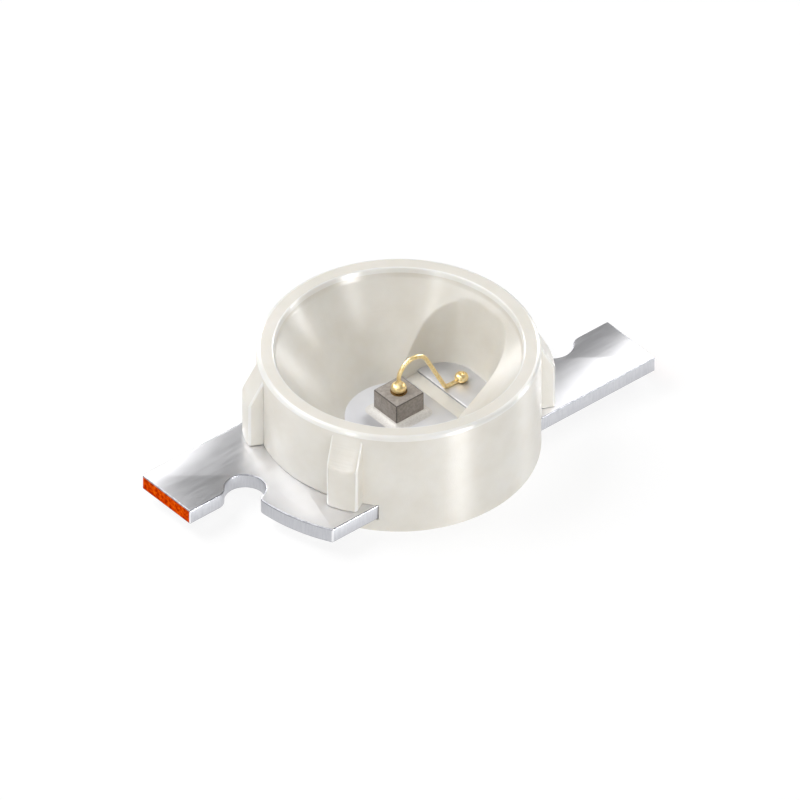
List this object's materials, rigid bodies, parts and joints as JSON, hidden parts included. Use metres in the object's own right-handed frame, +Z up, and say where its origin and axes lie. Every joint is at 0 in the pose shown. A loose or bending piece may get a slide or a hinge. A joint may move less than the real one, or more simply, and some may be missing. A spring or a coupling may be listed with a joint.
{
  "type": "surface-mount led",
  "caption": "Round white surface-mount LED: reflector cup with a chip and bond wire in clear resin, on flat plated leads.",
  "frame": {"origin": "middle of the body's flat underside, on the axis of the round body", "axes": "+Z up out of the reflector cup, +X along the leads towards the anode lead, +Y to complete a right-handed frame"},
  "size_m": [0.0036, 0.002, 0.0009],
  "materials": {
    "white_moulding": "satin, injection moulded",
    "plated_lead": "silver plated copper strip, stamped, with a bare copper end where it was cut",
    "chip": "sawn semiconductor",
    "silver_glue": "silver filled resin, cured",
    "gold": "bright drawn gold",
    "clear_resin": "clear cast resin"
  },
  "bodies": {
    "root": {"housing": "white_moulding", "cathode_lead": "plated_lead", "anode_lead": "plated_lead", "led_chip": "chip", "die_attach": "silver_glue", "bond_wire": "gold", "bond_bump": "gold", "clear_casting": "clear_resin"}
  },
  "joints": []
}
